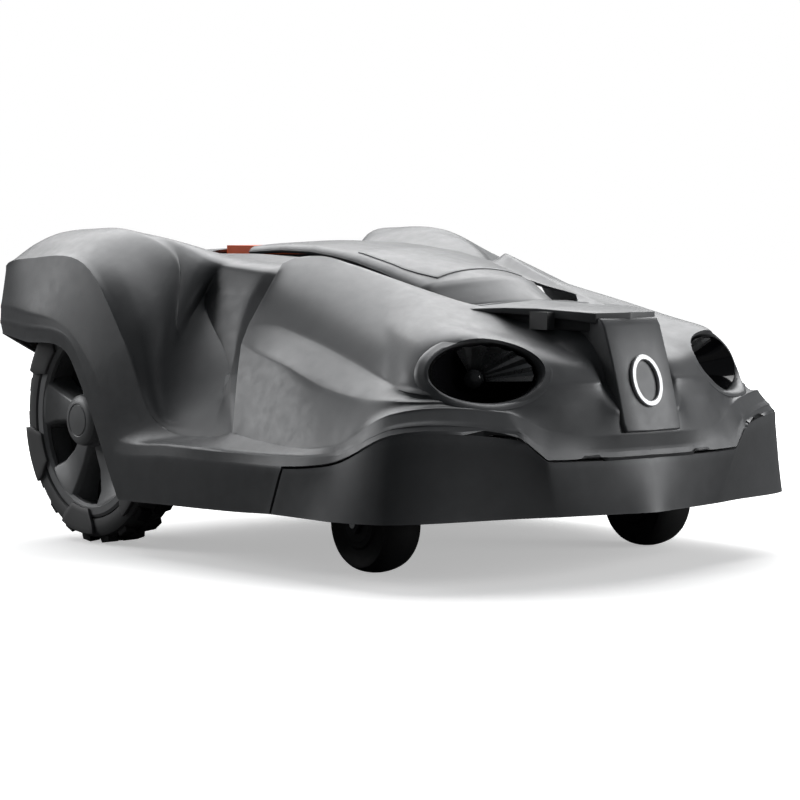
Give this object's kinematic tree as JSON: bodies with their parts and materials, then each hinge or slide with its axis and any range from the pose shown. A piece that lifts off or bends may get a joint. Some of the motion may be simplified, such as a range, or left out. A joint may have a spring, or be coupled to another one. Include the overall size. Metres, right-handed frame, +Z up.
{
  "type": "robotic lawn mower",
  "caption": "Robotic lawn mower: floating graphite shell with wheel-arch fenders and lamp recesses, treaded drive wheels, swivel casters and a height-adjustable blade disc.",
  "frame": {"origin": "on the ground under the middle of the machine", "axes": "+X is forward to the nose, +Y is the machine's left, +Z is up"},
  "size_m": [0.7179, 0.56, 0.3109],
  "materials": {
    "shell_plastic": "satin graphite, fine moulded grain",
    "bumper_plastic": "satin black-grey, soft sheen",
    "chassis_plastic": "dull moulded black",
    "rim_plastic": "satin silver-grey",
    "lamp_gloss": "piano black",
    "lamp_lens": "clear moulded lens",
    "tyre_rubber": "matt black rubber",
    "soft_rubber": "matt",
    "stop_orange": "smooth orange",
    "steel": "brushed",
    "motor_metal": "cast, lightly brushed",
    "cell_wrap": "shrink wrap"
  },
  "bodies": {
    "base": {"chassis_lower": "chassis_plastic", "chassis_upper": "chassis_plastic", "battery_cover": "chassis_plastic", "battery_pack": "cell_wrap", "display_panel": "lamp_gloss", "keypad": "chassis_plastic", "height_motor": "motor_metal", "height_guide_rod": "steel", "hinge_bracket": "steel", "stop_housing": "chassis_plastic", "drive_motor_left": "motor_metal", "drive_motor_right": "motor_metal"},
    "float_cups": {"float_cup_front_left": "soft_rubber", "float_cup_front_right": "soft_rubber", "float_cup_rear": "soft_rubber"},
    "float_posts": {"float_post_front_left": "chassis_plastic", "float_post_front_right": "chassis_plastic", "float_post_rear": "chassis_plastic"},
    "shell": {"shell_rear": "shell_plastic", "shell_front": "shell_plastic", "front_bumper": "bumper_plastic", "nose_bridge": "shell_plastic", "headlamp_bezel_left": "bumper_plastic", "headlamp_bezel_right": "bumper_plastic", "headlamp_bowl_left": "lamp_gloss", "headlamp_bowl_right": "lamp_gloss", "headlamp_led_left": "lamp_lens", "headlamp_led_right": "lamp_lens", "charge_contact_left": "steel", "charge_contact_right": "steel"},
    "lid": {"hatch": "shell_plastic"},
    "stop": {"stop_button": "stop_orange"},
    "key_power": {"power_key": "stop_orange"},
    "key_start": {"start_key": "chassis_plastic"},
    "key_back": {"back_key": "chassis_plastic"},
    "key_ok": {"ok_key": "chassis_plastic"},
    "wheel_left": {"rear_tyre_left": "tyre_rubber", "rear_rim_left": "rim_plastic", "hub_cap_left": "rim_plastic", "wheel_shaft_left": "steel"},
    "wheel_right": {"rear_tyre_right": "tyre_rubber", "rear_rim_right": "rim_plastic", "hub_cap_right": "rim_plastic", "wheel_shaft_right": "steel"},
    "caster_left": {"caster_fork_left": "chassis_plastic", "caster_axle_left": "steel"},
    "caster_right": {"caster_fork_right": "chassis_plastic", "caster_axle_right": "steel"},
    "roller_left": {"caster_wheel_left": "tyre_rubber"},
    "roller_right": {"caster_wheel_right": "tyre_rubber"},
    "carriage": {"height_carriage": "chassis_plastic", "cutting_motor": "motor_metal"},
    "disc": {"cutting_disc": "chassis_plastic", "blade_screw_1": "steel", "blade_screw_2": "steel", "blade_screw_3": "steel"},
    "skid": {"skid_plate": "chassis_plastic"},
    "blade_a": {"blade_1": "steel"},
    "blade_b": {"blade_2": "steel"},
    "blade_c": {"blade_3": "steel"}
  },
  "joints": [
    {"name": "shell_float_side", "type": "slide", "parent": "base", "child": "float_cups", "axis": [0, 1, 0], "range_m": [-0.004, 0.004], "stiffness_N_per_m": 3000},
    {"name": "shell_float_length", "type": "slide", "parent": "float_cups", "child": "float_posts", "axis": [1, 0, 0], "range_m": [-0.004, 0.004], "stiffness_N_per_m": 3000},
    {"name": "shell_lift", "type": "slide", "parent": "float_posts", "child": "shell", "axis": [0, 0, 1], "range_m": [0, 0.008]},
    {"name": "hatch_hinge", "type": "hinge", "parent": "base", "child": "lid", "pos_m": [0.154, 0, 0.243], "axis": [0, 1, 0], "range_deg": [0, 70]},
    {"name": "stop_press", "type": "slide", "parent": "base", "child": "stop", "axis": [0, 0, -1], "range_m": [0, 0.004], "stiffness_N_per_m": 900, "springref_m": -0.004},
    {"name": "power_key_press", "type": "slide", "parent": "base", "child": "key_power", "axis": [0, 0, -1], "range_m": [0, 0.0012], "stiffness_N_per_m": 250, "springref_m": -0.001},
    {"name": "start_key_press", "type": "slide", "parent": "base", "child": "key_start", "axis": [0, 0, -1], "range_m": [0, 0.0012], "stiffness_N_per_m": 250, "springref_m": -0.001},
    {"name": "back_key_press", "type": "slide", "parent": "base", "child": "key_back", "axis": [0, 0, -1], "range_m": [0, 0.0012], "stiffness_N_per_m": 250, "springref_m": -0.001},
    {"name": "ok_key_press", "type": "slide", "parent": "base", "child": "key_ok", "axis": [0, 0, -1], "range_m": [0, 0.0012], "stiffness_N_per_m": 250, "springref_m": -0.001},
    {"name": "wheel_left_spin", "type": "hinge", "parent": "base", "child": "wheel_left", "pos_m": [-0.187, 0.232, 0.1225], "axis": [0, 1, 0], "continuous": true},
    {"name": "wheel_right_spin", "type": "hinge", "parent": "base", "child": "wheel_right", "pos_m": [-0.187, -0.232, 0.1225], "axis": [0, 1, 0], "continuous": true},
    {"name": "caster_left_swivel", "type": "hinge", "parent": "base", "child": "caster_left", "pos_m": [0.19, 0.169, 0.1], "axis": [0, 0, 1], "continuous": true},
    {"name": "caster_left_roll", "type": "hinge", "parent": "caster_left", "child": "roller_left", "pos_m": [0.168, 0.169, 0.046], "axis": [0, 1, 0], "continuous": true},
    {"name": "caster_right_swivel", "type": "hinge", "parent": "base", "child": "caster_right", "pos_m": [0.19, -0.169, 0.1], "axis": [0, 0, 1], "continuous": true},
    {"name": "caster_right_roll", "type": "hinge", "parent": "caster_right", "child": "roller_right", "pos_m": [0.168, -0.169, 0.046], "axis": [0, 1, 0], "continuous": true},
    {"name": "cutting_height", "type": "slide", "parent": "base", "child": "carriage", "axis": [0, 0, 1], "range_m": [-0.02, 0.02]},
    {"name": "disc_spin", "type": "hinge", "parent": "carriage", "child": "disc", "pos_m": [0.03, 0, 0.044], "axis": [0, 0, 1], "continuous": true},
    {"name": "skid_spin", "type": "hinge", "parent": "disc", "child": "skid", "pos_m": [0.03, 0, 0.036], "axis": [0, 0, 1], "continuous": true},
    {"name": "blade_a_swing", "type": "hinge", "parent": "disc", "child": "blade_a", "pos_m": [0.106, 0, 0.04], "axis": [0, 0, 1], "continuous": true},
    {"name": "blade_b_swing", "type": "hinge", "parent": "disc", "child": "blade_b", "pos_m": [-0.008, 0.06582, 0.04], "axis": [0, 0, 1], "continuous": true},
    {"name": "blade_c_swing", "type": "hinge", "parent": "disc", "child": "blade_c", "pos_m": [-0.008, -0.06582, 0.04], "axis": [0, 0, 1], "continuous": true}
  ]
}
